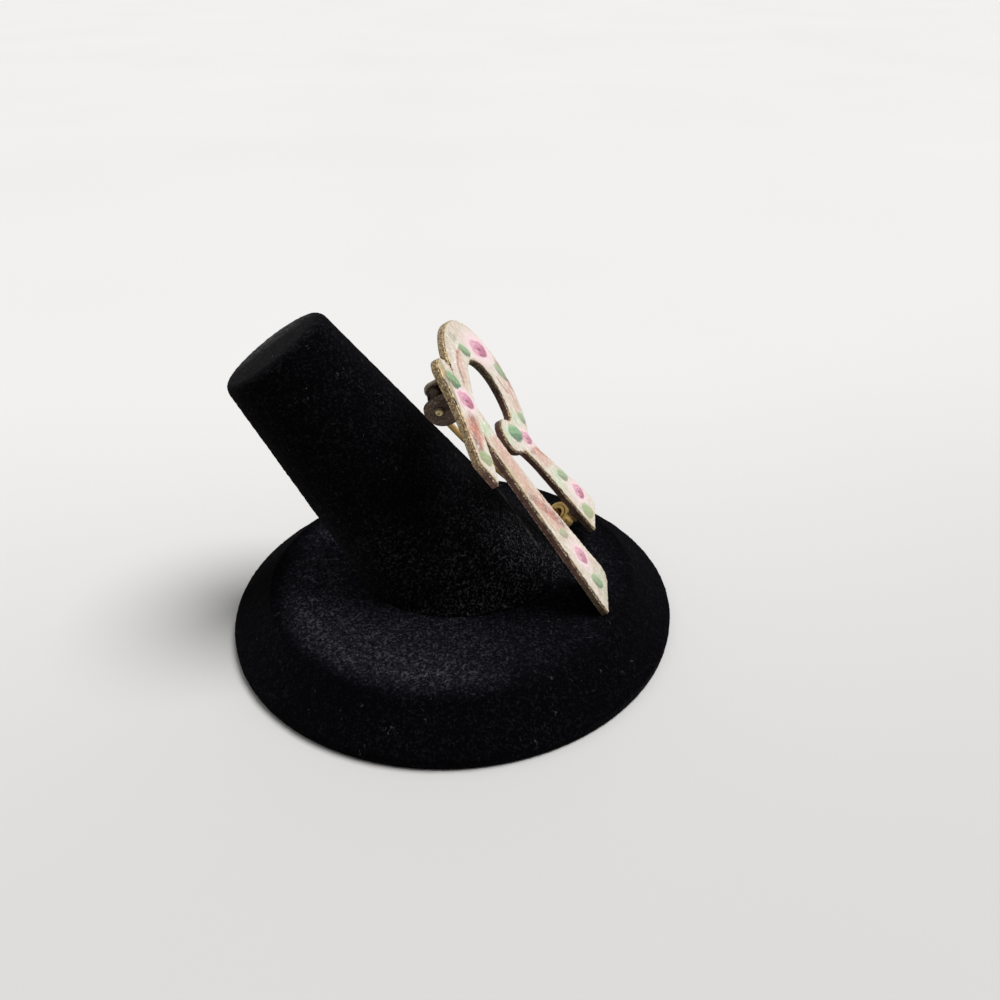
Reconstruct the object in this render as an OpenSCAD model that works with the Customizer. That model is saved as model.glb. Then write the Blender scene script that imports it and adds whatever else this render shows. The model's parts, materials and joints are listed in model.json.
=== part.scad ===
// Enamelled letter brooch leaning on a flocked ring display stand.
// Millimetres, +Z up, origin at the centre of the stand's foot.
// The post leans towards -X, the letter's face looks towards +X and up.

/* [Stand] */
// Diameter of the round foot
base_d = 50.8; // [44:0.1:60]
// Height of the foot
base_h = 4.9; // [3:0.1:8]
// Diameter of the foot's flat top
top_d = 42.4; // [36:0.1:43]
// Height of the foot's upright rim below the bevel
rim_h = 1.0; // [0.6:0.1:1.6]
// Lean of the post from upright, in degrees
post_lean = 32.9; // [25:0.1:36]
// Diameter of the post where its axis meets the foot
post_d = 19.8; // [16:0.1:20]
// Diameter of the post at its end
post_end_d = 12.5; // [10:0.1:14]
// Length of the post along its axis
post_l = 32.5; // [26:0.1:36]
// Rounding of the post's end
post_round = 1.1; // [0.5:0.1:2]

/* [Letter] */
// Thickness of the metal letter
metal_t = 0.7; // [0.5:0.05:1]
// Thickness of the enamel on its face
enamel_t = 0.14; // [0.1:0.01:0.2]
// Bare metal left around the enamel
border = 0.12; // [0.1:0.01:0.3]
// Lean of the letter from upright, in degrees
letter_lean = 31.7; // [25:0.1:36]
// Turn of the letter about the upright, in degrees
letter_turn = -4.5; // [-8:0.1:0]

/* [Pin] */
// Height of the pin's axis above the letter's back
pin_h = 1.75; // [1.7:0.05:2]
// Diameter of the pin
pin_d = 0.66; // [0.6:0.01:0.7]
// Distance from the hinge to the catch
pin_reach = 26.0; // [25.5:0.1:26.5]
// How far the pin bows away from the letter
pin_bow = 0.8; // [0.5:0.1:0.9]
// Width of the hinge's near ear
ear_d = 3.0; // [2.6:0.1:3.2]
// How much longer than wide the near ear is
ear_drop = 0.9; // [0.5:0.1:1]
// Thickness of the near ear
ear_t = 0.5; // [0.4:0.05:0.6]
// Diameter of the far ear
far_d = 2.3; // [2.1:0.05:2.6]
// Thickness of the far ear
far_t = 0.4; // [0.3:0.05:0.5]
// Distance between the ears
ear_gap = 2.2; // [2:0.05:2.3]
// Diameter of the rivet
rivet_d = 0.8; // [0.7:0.05:0.9]
// Outer diameter of the catch's housing
catch_d = 2.8; // [2.7:0.05:2.9]
// Width of the catch's housing along the pin
catch_w = 1.8; // [1.4:0.1:2]

/* [Hidden] */
$fn = 48;
gap = 0.02;
// centre of the post on the foot's top
post_at = [0, 1.95];
// lower front corner of the letter's stem on the foot's top
foot_at = [17.3, -9.04];
letter_t = metal_t + gap + enamel_t;
// hinge on the letter's back, and the pin's turn from upright
hinge_at = [2.3, 29.8];
pin_turn = 25.3;
bow_r = (pow(pin_reach / 2, 2) + pow(pin_bow, 2)) / (2 * pin_bow);
// inner face of the near ear
near_x = -0.7;
// the pin leaves its knuckle on the outer side
root_off = 0.62;
rotor_r = catch_d / 2 - 0.48;
rotor_bore = 0.52;

bronze = "#7a6547";
brass = "#c9a452";

// Upright strokes: height, left edge, right edge
stem_rows = [
    [0, 0.4, 6.0],
    [0.3, 0.4, 6.9],
    [1.1, 0.4, 7.4],
    [2.2, 0.4, 7.3],
    [4, 0.4, 6.85],
    [9, 0.4, 5.75],
    [14.5, 0.4, 4.7],
    [19, 0.4, 4.05],
    [24, 0.4, 3.6],
    [29, 0.4, 3.9]
];
leg_rows = [
    [2.5, 13.3, 19.0],
    [3.1, 13.1, 19.45],
    [6, 12.25, 18.35],
    [10, 11.15, 16.0],
    [13.5, 10.2, 14.0],
    [16, 9.4, 12.7],
    [18.6, 8.1, 12.5]
];
// Curved strokes: centre x, centre y, width
bowl_rows = [
    [3.0, 28.3, 2.5],
    [4.9, 29.9, 3.7],
    [6.9, 31.2, 4.3],
    [9.5, 31.75, 4.6],
    [12.4, 31.0, 4.8],
    [14.6, 28.9, 5.0],
    [15.6, 26.0, 5.1],
    [15.2, 23.3, 5.1],
    [13.8, 21.1, 4.7],
    [11.8, 19.75, 4.0],
    [9.4, 19.7, 3.8],
    [7.3, 21.05, 4.0]
];
flag_rows = [
    [2.3, 32.0, 3.3],
    [1.9, 30.4, 3.7],
    [1.1, 28.7, 3.8],
    [-0.1, 27.1, 3.7],
    [-1.6, 25.5, 3.6],
    [-3.2, 24.0, 3.3],
    [-5.0, 22.75, 3.2]
];
// lower corner of the flag's end cut, and the cut's lean
flag_end = [-3.8, 21.7];
flag_cut = 11.7;

// one coordinate of a smooth curve between rows b and c
function blend(a, b, c, d, t) =
    0.5 * (2 * b + (c - a) * t + (2 * a - 5 * b + 4 * c - d) * t * t
           + (3 * b - a - 3 * c + d) * t * t * t);
function smooth(rows, n) = let (m = len(rows) - 1) concat(
    [for (i = [0:m - 1], j = [0:n - 1])
        blend(rows[max(i - 1, 0)], rows[i], rows[i + 1], rows[min(i + 2, m)], j / n)],
    [rows[m]]);
// half a width away from point i, at an angle from the stroke's direction
function around(p, i, a) =
    let (q = p[min(i + 1, len(p) - 1)] - p[max(i - 1, 0)], k = p[i].z / 2 / norm([q.x, q.y]))
    [p[i].x + k * (q.x * cos(a) - q.y * sin(a)), p[i].y + k * (q.y * cos(a) + q.x * sin(a))];
function narrower(rows, by) = [for (r = rows) [r.x, r.y, r.z - by]];
function ribbon(rows, n, head, tail) = let (p = smooth(rows, n), m = len(p) - 1) concat(
    [for (i = [0:m]) around(p, i, 90)],
    [for (a = tail) around(p, m, a)],
    [for (i = [m:-1:0]) around(p, i, -90)],
    [for (a = head) around(p, 0, a)]);
function band(rows, n, inset) = let (p = smooth(rows, n), m = len(p) - 1) concat(
    [for (r = p) [r.y + inset, r.x]],
    [for (i = [m:-1:0]) [p[i].z - inset, p[i].x]]);
// profile points around a rounded corner
function corner(c, r, a0, a1) = [for (i = [0:5]) let (a = a0 + (a1 - a0) * i / 5)
    [c.x + r * cos(a), c.y + r * sin(a)]];

// the letter R, its strokes narrowed by inset on every side
module letter_shape(inset) {
    difference() {
        union() {
            polygon(band(stem_rows, 4, inset));
            polygon(band(leg_rows, 4, inset));
            polygon(ribbon(narrower(bowl_rows, 2 * inset), 6, [], [75:-15:-75]));
            polygon(ribbon(narrower(flag_rows, 2 * inset), 6, [-105:-15:-255], []));
        }
        translate(flag_end)
            rotate(flag_cut)
                translate([inset - 5, -3])
                    square([5, 12]);
        translate([0, -1])
            square([8, 1 + inset]);
        translate([12, 1.5])
            square([9, 1 + inset]);
    }
}

module on_letter() {
    translate([foot_at.x, foot_at.y, base_h + gap + letter_t * sin(letter_lean)])
        rotate([90 - letter_lean, 0, 90 + letter_turn])
            children();
}

// frame of the pin: X along the rivet, -Y along the pin, Z towards the letter
module on_back() {
    on_letter()
        translate([hinge_at.x, hinge_at.y, -letter_t - pin_h])
            rotate([0, 0, pin_turn])
                children();
}

module along_x(d, h) {
    rotate([0, 90, 0])
        cylinder(d = d, h = h, center = true);
}

module along_pin(r, h) {
    rotate([90, 0, 0])
        cylinder(r = r, h = h, center = true);
}

module stand_base() {
    r = base_d / 2;
    color("#15151a")
        rotate_extrude($fn = 96)
            polygon(concat(
                [[0, 0]],
                corner([r - 0.4, 0.4], 0.4, -90, 0),
                corner([r - 0.5, rim_h], 0.5, 0, 45),
                corner([top_d / 2 - 0.4, base_h - 0.5], 0.5, 45, 90),
                [[0, base_h]]));
}

module stand_post() {
    grow = (post_d - post_end_d) / 2 / post_l;
    sunk = 9;
    color("#101014")
        difference() {
            translate([post_at.x, post_at.y, base_h])
                rotate([0, -post_lean, 0])
                    rotate_extrude($fn = 96)
                        polygon(concat(
                            [[0, -sunk], [post_d / 2 + grow * sunk, -sunk]],
                            corner([post_end_d / 2 - post_round, post_l - post_round], post_round, 6, 90),
                            [[0, post_l]]));
            translate([-40, -40, -20])
                cube([80, 80, 20 + base_h + gap]);
        }
}

module ear(d, t) {
    along_x(d, t);
    translate([-t / 2, -d / 2, 0])
        cube([t, d, pin_h + 0.1]);
}

module hinge_bracket() {
    low = near_x - ear_t;
    difference() {
        union() {
            for (y = [0, -ear_drop])
                translate([near_x - ear_t / 2, y, 0])
                    ear(ear_d, ear_t);
            translate([low, -ear_drop, -ear_d / 2])
                cube([ear_t, ear_drop, ear_d / 2 + 0.1]);
            translate([near_x + ear_gap + far_t / 2, 0, 0])
                ear(far_d, far_t);
            translate([low, -2.3, pin_h - 0.3])
                cube([ear_t + ear_gap + far_t, 3.8, 0.4]);
        }
        along_x(rivet_d + 2 * gap, 8);
    }
}

module catch_housing() {
    translate([0, -pin_reach, 0]) {
        difference() {
            union() {
                along_pin(catch_d / 2, catch_w);
                translate([-0.6, -catch_w / 2, 1.0])
                    cube([1.2, catch_w, pin_h - 0.9]);
            }
            along_pin(rotor_r + 0.05, catch_w + 1);
            translate([-0.62, -catch_w / 2 - 0.5, -catch_d])
                cube([1.24, catch_w + 1, catch_d]);
        }
        translate([-1.0, -0.85, pin_h - 0.28])
            cube([2.9, 2.05, 0.38]);
    }
}

module letter_frame() {
    color(bronze) {
        on_letter()
            translate([0, 0, -letter_t])
                linear_extrude(metal_t)
                    letter_shape(0);
        on_back() {
            hinge_bracket();
            catch_housing();
        }
    }
}

module enamel_face() {
    color("#f1e6d8")
        on_letter()
            translate([0, 0, -enamel_t])
                linear_extrude(enamel_t)
                    letter_shape(border);
}

module hinge_rivet() {
    low = near_x - ear_t - gap;
    high = near_x + ear_gap + far_t + gap;
    color(brass)
        on_back() {
            translate([(low + high) / 2, 0, 0])
                along_x(rivet_d, high - low + 0.1);
            for (x = [low - 0.14, high + 0.14])
                translate([x, 0, 0])
                    along_x(1.25, 0.28);
        }
}

module bowed_wire(sweep, tip) {
    rotate_extrude(angle = sweep, $fn = 720)
        translate([bow_r, 0])
            circle(d = pin_d);
    translate([bow_r, 0, 0])
        rotate([90, 0, 0])
            cylinder(d1 = pin_d, d2 = 0.2, h = tip);
}

module pin_stem() {
    tip = 1.6;
    root_a = asin((pin_reach / 2 - 0.1) / bow_r);
    tip_a = asin((pin_reach / 2 + 0.5) / bow_r);
    color(brass)
        on_back()
            difference() {
                union() {
                    translate([near_x + ear_gap / 2, 0, 0])
                        along_x(1.9, ear_gap - 0.1);
                    translate([0, -pin_reach, 0])
                        rotate([-asin(root_off / pin_reach), 0, 0])
                            translate([0, pin_reach / 2, bow_r - pin_bow])
                                rotate([0, 90, 0])
                                    rotate([0, 0, -tip_a])
                                        bowed_wire(root_a + tip_a, tip);
                }
                along_x(rivet_d + 0.1, 8);
            }
}

module catch_rotor() {
    long = catch_w + 0.6;
    shift = -0.25;
    end = shift - long / 2;
    color(brass)
        on_back()
            translate([0, -pin_reach, 0])
                difference() {
                    union() {
                        translate([0, shift, 0])
                            along_pin(rotor_r, long);
                        rotate([0, 75, 0]) {
                            translate([-1.2, end + 0.03, -0.25])
                                cube([0.5, 0.48, 0.5]);
                            translate([-1.2, end + 0.27, 0])
                                along_pin(0.45, 0.48);
                        }
                    }
                    along_pin(rotor_bore, long * 2);
                    translate([-0.45, -long, -catch_d])
                        cube([0.9, long * 2, catch_d]);
                }
}

stand_base();
stand_post();
letter_frame();
enamel_face();
hinge_rivet();
pin_stem();
catch_rotor();
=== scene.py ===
"""A small enamelled letter brooch that leans on a black flocked ring stand, dressed around the
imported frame. Lengths are in mm; MM turns them into the row frame's metres."""
import json
from math import asin, atan2, cos, degrees, dist, exp, hypot, pi, radians, sin

import bmesh
import bpy
import numpy as np
from mathutils import Matrix, Vector, kdtree, noise
from mathutils.geometry import delaunay_2d_cdt


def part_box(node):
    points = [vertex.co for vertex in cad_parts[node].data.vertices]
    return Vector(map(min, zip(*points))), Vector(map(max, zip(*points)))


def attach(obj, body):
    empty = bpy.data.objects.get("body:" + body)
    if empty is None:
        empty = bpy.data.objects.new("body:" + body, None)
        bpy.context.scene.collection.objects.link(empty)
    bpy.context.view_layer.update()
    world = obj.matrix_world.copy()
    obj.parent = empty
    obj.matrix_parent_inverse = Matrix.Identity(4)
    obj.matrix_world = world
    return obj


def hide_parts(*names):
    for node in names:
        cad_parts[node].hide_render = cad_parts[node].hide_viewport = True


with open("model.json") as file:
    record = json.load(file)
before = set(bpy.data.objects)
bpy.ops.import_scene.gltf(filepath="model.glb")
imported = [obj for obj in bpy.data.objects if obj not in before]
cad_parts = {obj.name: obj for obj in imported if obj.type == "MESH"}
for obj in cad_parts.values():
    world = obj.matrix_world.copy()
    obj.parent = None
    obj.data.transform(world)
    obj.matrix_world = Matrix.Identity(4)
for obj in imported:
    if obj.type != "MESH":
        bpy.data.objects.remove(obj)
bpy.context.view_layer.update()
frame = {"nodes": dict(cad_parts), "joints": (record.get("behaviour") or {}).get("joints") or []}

MM = 0.001

# Sizes of the stand
BASE_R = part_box("stand_base")[1][0] / MM
BASE_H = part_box("stand_base")[1][2] / MM
BASE_TOP_R = 21.2
BASE_RIM_H = 1.0
POST_AT = (0.0, 1.95)
POST_LEAN = radians(32.9)
POST_R = 9.9
POST_END_R = 6.25
POST_L = 32.5
POST_ROUND = 1.1
# How far and how high the post's flocking spreads where it meets the foot
POST_FLARE = 0.45
FLARE_H = 0.7
# A faint pale line painted along the post's flocking
POST_PALE_LINE = [(5.47, 4.34, 13.27), (6.97, 2.61, 11.88), (8.78, 1.14, 9.65), (9.86, 0.24, 8.16)]
# Fineness of the stand's meshes
FOOT_STEP = 0.3
FOOT_INNER_R = 4.0
FOOT_SEGMENTS = 520
POST_SEGMENTS = 250
POST_ROWS = 130
CAP_RINGS = 20
# The share of the pile's height that stands out and up on the foot
PILE_LIFT = 0.75
# A point this near the floor or the foot's top counts as on it, and the post dips no deeper
SKIN = 0.05

# Sizes of the letter and its fittings
METAL_T = 0.7
GAP = 0.02
ENAMEL_T = 0.14
HINGE_AT = (2.3, 29.8)
PIN_TURN = radians(25.3)
PIN_H = 1.75
PIN_D = 0.66
PIN_REACH = 26.0
PIN_BOW = 0.8
ROOT_OFF = 0.62
NEAR_X = -0.7
EAR_R = 1.5
EAR_DROP = 0.9
EAR_T = 0.5
FAR_R = 1.15
FAR_T = 0.4
EAR_GAP = 2.2
RIVET_R = 0.4
HEAD_R = 0.625
HEAD_H = 0.28
CATCH_R = 1.4
CATCH_W = 1.8
ROTOR_R = 0.92
ROTOR_BORE = 0.52
# Rolled head of the rivet: radius, share of its height. Its middle is dished.
HEAD_DISH = 0.03
HEAD_PROFILE = [(0.13, 0.75), (0.22, 1.0), (0.32, 0.94), (0.4, 0.6), (0.44, 0.25),
                (HEAD_R - 0.05, 0.22), (HEAD_R, 0.0), (RIVET_R, 0.0)]
# The pin's knuckle, its point and the fineness of its wire
KNUCKLE_R = 0.95
POINT_L = 1.6
POINT_TAPER = 0.72
PIN_STEPS = 60
PIN_SIDES = 20
# Room between parts that turn, and half the openings of catch and sleeve
PLAY = 0.05
MOUTH = 0.62
SLOT = 0.45
# The sleeve is this much longer than the catch, and sits off its middle
SLEEVE_EXTRA = 0.6
SLEEVE_SHIFT = -0.25
# Its thumb lever
LEVER_AT = -1.2
LEVER_TURN = radians(75)
KNOB_R = 0.39
# How deep the soldered patches reach into the letter's back
SOLDER = 0.02
# Voxels that fuse the fittings
VOXEL = 0.055
FINE_VOXEL = 0.045

# Smoothing of the outlines: point spacing, degrees that make a corner, passes
LOOP_STEP = 0.12
CORNER_TURN = 26.0
CURVE_PASSES = 26
CORNER_PASSES = 2
# A slab's rings inside its rim and its back's edge, as shares of its rounded edge, then the row
# height of its grid and how uneven its face is
RING_SHARES = (0.2, 0.5, 1.0, 1.7)
BACK_EDGE = 0.8
HEX_ROW = 0.866
FACE_ROUGH = 0.012
# delaunay_2d_cdt keeps only the triangles inside the outline
KEEP_INSIDE = 1

# Floor, light and camera: lengths in metres, the lens in mm
FLOOR_HALF = 3.0
SKY_FADE = {"From Min": -0.8, "From Max": 0.8, "To Min": 0.17, "To Max": 0.6}
SUN_STRENGTH = 2.95
SUN_SPREAD = radians(34)
SUN_WAY = (-0.45, -0.08, -1.0)
LENS = 32.4
TILT = radians(32.44)
ROLL = radians(0.62)
CAMERA_AT = (0.0055975, -0.0843703, 0.0682763)


def local_frame(origin, x, y, z):
    """Places millimetres of a local frame in the row frame's metres."""
    m = (Matrix((x, y, z)).transposed() * MM).to_4x4()
    m.translation = origin
    return m


JOINTS = {j["name"]: j for j in frame["joints"]}
HINGE = Vector(JOINTS["pin_hinge"]["pos_m"])
CATCH = Vector(JOINTS["catch_turn"]["pos_m"])
ALONG = Vector(JOINTS["pin_hinge"]["axis"]).normalized()
UP_PIN = -Vector(JOINTS["catch_turn"]["axis"]).normalized()
FACING = ALONG.cross(UP_PIN)
RIGHT = ALONG * cos(PIN_TURN) - UP_PIN * sin(PIN_TURN)
UPWARD = ALONG * sin(PIN_TURN) + UP_PIN * cos(PIN_TURN)
LETTER_T = METAL_T + GAP + ENAMEL_T
FOOT = HINGE - (RIGHT * HINGE_AT[0] + UPWARD * HINGE_AT[1] - FACING * (LETTER_T + PIN_H)) * MM
ON_LETTER = local_frame(FOOT, RIGHT, UPWARD, FACING)
ON_HINGE = local_frame(HINGE, ALONG, UP_PIN, FACING)
ON_CATCH = local_frame(CATCH, ALONG, UP_PIN, FACING)


# Outlines taken from the frame

def rim(node, height):
    """The outline of a node's flat face at a height of the letter's frame, anticlockwise, in mm."""
    mesh = frame["nodes"][node].data
    mesh.calc_loop_triangles()
    inverse = ON_LETTER.inverted()
    place = [inverse @ v.co for v in mesh.vertices]
    key = [(round(p.x, 3), round(p.y, 3)) if abs(p.z - height) < 0.005 else None for p in place]
    edges = set()
    for tri in mesh.loop_triangles:
        k = [key[i] for i in tri.vertices]
        if None not in k:
            edges.update([(k[0], k[1]), (k[1], k[2]), (k[2], k[0])])
    follow = {a: b for a, b in edges if (b, a) not in edges and a != b}
    loops = []
    while follow:
        start = next(iter(follow))
        loop = [start]
        while loop[-1] in follow:
            loop.append(follow.pop(loop[-1]))
        loops.append(loop[:-1])
    points = np.array(max(loops, key=len))
    following = np.roll(points, -1, 0)
    area = (points[:, 0] * following[:, 1] - points[:, 1] * following[:, 0]).sum()
    return points if area > 0 else points[::-1]


def even(points, step):
    """An open run of points spaced evenly, both ends kept."""
    gaps = np.linalg.norm(np.diff(points, axis=0), axis=1)
    along = np.concatenate([[0], gaps.cumsum()])
    count = max(2, int(round(along[-1] / step)) + 1)
    at = np.linspace(0, along[-1], count)
    return np.stack([np.interp(at, along, points[:, k]) for k in range(2)], -1)


def smooth_loop(points, step):
    """A closed outline, its curves smoothed and its corners only slightly rounded."""
    before = points - np.roll(points, 1, 0)
    after = np.roll(points, -1, 0) - points
    cross = before[:, 0] * after[:, 1] - before[:, 1] * after[:, 0]
    turn = np.degrees(np.arctan2(cross, (before * after).sum(1)))
    corners = np.nonzero(np.abs(turn) > CORNER_TURN)[0]
    points = np.roll(points, -corners[0], 0)
    corners = list(corners - corners[0]) + [len(points)]
    closed = np.concatenate([points, points[:1]])
    runs = []
    for a, b in zip(corners[:-1], corners[1:]):
        run = even(closed[a:b + 1], step)
        for _ in range(CURVE_PASSES):
            run[1:-1] = (run[:-2] + 2 * run[1:-1] + run[2:]) / 4
        runs.append(run[:-1])
    loop = np.concatenate(runs)
    for _ in range(CORNER_PASSES):
        loop = (np.roll(loop, 1, 0) + 2 * loop + np.roll(loop, -1, 0)) / 4
    return loop


def outward(loop):
    """Unit normals that point out of an anticlockwise loop."""
    d = np.roll(loop, -1, 0) - np.roll(loop, 1, 0)
    n = np.stack([d[:, 1], -d[:, 0]], -1)
    return n / np.linalg.norm(n, axis=1)[:, None]


def inside(points, loop):
    """Which points lie inside a closed loop."""
    a = loop
    b = np.roll(loop, -1, 0)
    x, y = points[:, 0][:, None], points[:, 1][:, None]
    crosses = (a[:, 1] > y) != (b[:, 1] > y)
    rise = np.where(b[:, 1] == a[:, 1], 1e-9, b[:, 1] - a[:, 1])
    at = (b[:, 0] - a[:, 0]) * (y - a[:, 1]) / rise + a[:, 0]
    return ((crosses & (x < at)).sum(1) % 2).astype(bool)


def distance_to(loop, points):
    """Each point's distance from a closed loop of close points."""
    tree = kdtree.KDTree(len(loop))
    for i, p in enumerate(loop):
        tree.insert((p[0], p[1], 0), i)
    tree.balance()
    near = np.array([tree.find((p[0], p[1], 0))[1] for p in points])
    best = np.full(len(points), 1e9)
    for s in (-1, 0):
        a = loop[(near + s) % len(loop)]
        b = loop[(near + s + 1) % len(loop)]
        ab = b - a
        t = np.clip(((points - a) * ab).sum(1) / (ab * ab).sum(1), 0, 1)
        best = np.minimum(best, np.linalg.norm(points - a - ab * t[:, None], axis=1))
    return best


# Meshes

def in_scene(name, data):
    """A new object in the scene with this data."""
    obj = bpy.data.objects.new(name, data)
    bpy.context.scene.collection.objects.link(obj)
    return obj


def new_object(name, verts, faces, material, smooth=True):
    """An object from vertices in the row frame's metres."""
    mesh = bpy.data.meshes.new(name)
    mesh.from_pydata(verts, [], faces)
    mesh.validate()
    if smooth:
        mesh.shade_smooth()
    mesh.materials.append(material)
    return in_scene(name, mesh)


def placed(verts, matrix):
    """Local millimetres in the row frame's metres."""
    v = np.asarray(verts, float)
    m = np.array(matrix)
    return v @ m[:3, :3].T + m[:3, 3]


def grain(points, scale, seed):
    """Smooth noise from -1 to 1 at points in mm, with features about scale mm wide."""
    shift = Vector((seed * 17.3, seed * 5.1, seed * 9.7))
    return np.array([noise.noise(Vector(p) / scale + shift) for p in points])


def shoulder(distance, radius):
    """How far a rounded edge drops at a distance from the rim."""
    t = np.clip(distance / radius, 0, 1)
    return radius * (1 - np.sqrt(1 - (1 - t) ** 2))


def bands(rows, segments):
    """Faces that join each ring of so many points to the next, rows times."""
    faces = []
    for k in range(rows):
        for i in range(segments):
            j = (i + 1) % segments
            low, high = k * segments, (k + 1) * segments
            faces.append([low + i, low + j, high + j, high + i])
    return faces


def slab(name, loop, low, high, edge, spacing, rows, wall_rough, material):
    """A flat piece with this outline on the letter: rounded edges and rough walls.
    Its paint attribute holds each point's place on the letter and its distance from the face's rim
    in mm, negative down the walls and on over the back."""
    lo, hi = loop.min(0), loop.max(0)
    n = len(loop)
    rings = []
    normal = outward(loop)
    for share in RING_SHARES:
        ring = loop - normal * edge * share
        keep = inside(ring, loop) & (distance_to(loop, ring) > edge * share * 0.9)
        rings.append(ring[keep][::1 if share < 1 else 2])
    xs = np.arange(lo[0], hi[0], spacing)
    ys = np.arange(lo[1], hi[1], spacing * HEX_ROW)
    grid = np.array([(x + (j % 2) * spacing / 2, y) for j, y in enumerate(ys) for x in xs])
    grid = grid[inside(grid, loop)]
    grid = grid[distance_to(loop, grid) > edge * RING_SHARES[-1] + spacing * 0.5]
    points = np.concatenate([loop] + rings + [grid])
    cut = delaunay_2d_cdt([Vector(p) for p in points], [], [list(range(n))], KEEP_INSIDE, 1e-5)
    cut_points, cut_faces, sources_of = cut[0], cut[2], cut[3]
    flat = np.array([(p.x, p.y) for p in cut_points])
    at_rim = {source: i for i, sources in enumerate(sources_of) for source in sources if source < n}
    ring_of = [at_rim[i] for i in range(n)]
    distance = distance_to(loop, flat)
    distance[ring_of] = 0
    back_edge = edge * BACK_EDGE
    top = high - shoulder(distance, edge)
    bottom = low + shoulder(distance, back_edge)
    spots = np.column_stack([flat, np.zeros(len(flat))])
    uneven = grain(spots, 0.9, 1) + 0.5 * grain(spots, 0.35, 2)
    top += FACE_ROUGH * uneven * np.clip(distance * 5, 0, 1)
    count = len(flat)
    verts = [np.column_stack([flat, top]), np.column_stack([flat, bottom])]
    faces = [list(f) for f in cut_faces] + [[i + count for i in reversed(f)] for f in cut_faces]
    levels = [ring_of]
    start = 2 * count
    high_z = high - edge
    low_z = low + back_edge
    for k in range(1, rows):
        z = high_z + (low_z - high_z) * k / rows
        row = np.column_stack([loop, np.full(n, z)])
        push = wall_rough * (grain(row, 0.3, 3) + 0.7 * grain(row, 0.14, 4))
        row[:, :2] += normal * push[:, None]
        verts.append(row)
        levels.append(list(range(start, start + n)))
        start += n
    levels.append([i + count for i in ring_of])
    for upper, lower in zip(levels[:-1], levels[1:]):
        for i in range(n):
            j = (i + 1) % n
            faces.append([upper[i], lower[i], lower[j], upper[j]])
    verts = np.concatenate(verts)
    walls = verts[2 * count:, 2] - high
    obj = new_object(name, placed(verts, ON_LETTER), faces, material)
    paint = obj.data.attributes.new("paint", "FLOAT_VECTOR", "POINT")
    back = low - high - distance
    values = np.column_stack([verts[:, :2], np.concatenate([distance, back, walls])])
    paint.data.foreach_set("vector", values.astype(np.float32).ravel())
    return obj


def arc(radius, start, end, count, centre=(0.0, 0.0)):
    """Points along an arc, in degrees, both ends kept."""
    return [(centre[0] + radius * cos(a), centre[1] + radius * sin(a))
            for a in np.radians(np.linspace(start, end, count))]


def prism(bm, outline, low, high, axis, bevel):
    """Adds a solid to bm: an outline extruded along a local axis, with rounded edges.
    The outline is given in the other two axes, in the order X, Y, Z."""
    others = [k for k in range(3) if k != axis]

    def corner(p, level):
        """A point of the outline at a level of the axis."""
        v = [0.0, 0.0, 0.0]
        v[others[0]], v[others[1]], v[axis] = p[0], p[1], level
        return v

    near = [bm.verts.new(corner(p, low)) for p in outline]
    far = [bm.verts.new(corner(p, high)) for p in outline]
    caps = [bm.faces.new(near), bm.faces.new(far)]
    rim_edges = [e for f in caps for e in f.edges]
    for i in range(len(outline)):
        j = (i + 1) % len(outline)
        bm.faces.new((near[i], near[j], far[j], far[i]))
    bmesh.ops.bevel(bm, geom=rim_edges, offset=bevel, segments=3, profile=0.5, affect="EDGES")


def rounded_box(bm, low, high, bevel):
    """Adds a box with rounded ends to bm, between two opposite corners."""
    (x0, y0, z0), (x1, y1, z1) = low, high
    prism(bm, [(x0, y0), (x1, y0), (x1, y1), (x0, y1)], z0, z1, 2, bevel)


def lathe(profile, segments):
    """Vertices and faces of a (radius, height) profile turned round Z, closed at radius 0."""
    turned = [p for p in profile if p[0] > 0]
    angles = np.linspace(0, 2 * pi, segments, endpoint=False)
    verts = [(r * cos(a), r * sin(a), z) for r, z in turned for a in angles]
    faces = bands(len(turned) - 1, segments)
    for end, row in ((profile[0], 0), (profile[-1], len(turned) - 1)):
        if end[0] == 0:
            centre = len(verts)
            verts.append((0.0, 0.0, end[1]))
            for i in range(segments):
                j = (i + 1) % segments
                a, b = row * segments + i, row * segments + j
                faces.append([centre, b, a] if row == 0 else [centre, a, b])
    return verts, faces


def add_mesh(bm, verts, faces, matrix):
    """Adds vertices, moved by a matrix, and their faces to bm."""
    made = [bm.verts.new(matrix @ Vector(v)) for v in verts]
    for f in faces:
        bm.faces.new([made[i] for i in f])


def from_bmesh(name, bm, matrix, material, voxel=None, smoothing=2):
    """An object from local millimetres, fused by a voxel remesh where voxel (mm) is given."""
    bmesh.ops.recalc_face_normals(bm, faces=bm.faces)
    mesh = bpy.data.meshes.new(name)
    bm.to_mesh(mesh)
    bm.free()
    obj = in_scene(name, mesh)
    if voxel:
        fuse = obj.modifiers.new("fuse", "REMESH")
        fuse.mode = "VOXEL"
        fuse.voxel_size = voxel
        soft = obj.modifiers.new("soft", "SMOOTH")
        soft.factor = 0.5
        soft.iterations = smoothing
        seen = obj.evaluated_get(bpy.context.evaluated_depsgraph_get())
        obj.data = bpy.data.meshes.new_from_object(seen)
        obj.modifiers.clear()
        bpy.data.meshes.remove(mesh)
    obj.data.transform(matrix)
    obj.data.name = name
    obj.data.materials.append(material)
    obj.data.shade_smooth()
    return obj


# Materials

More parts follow.
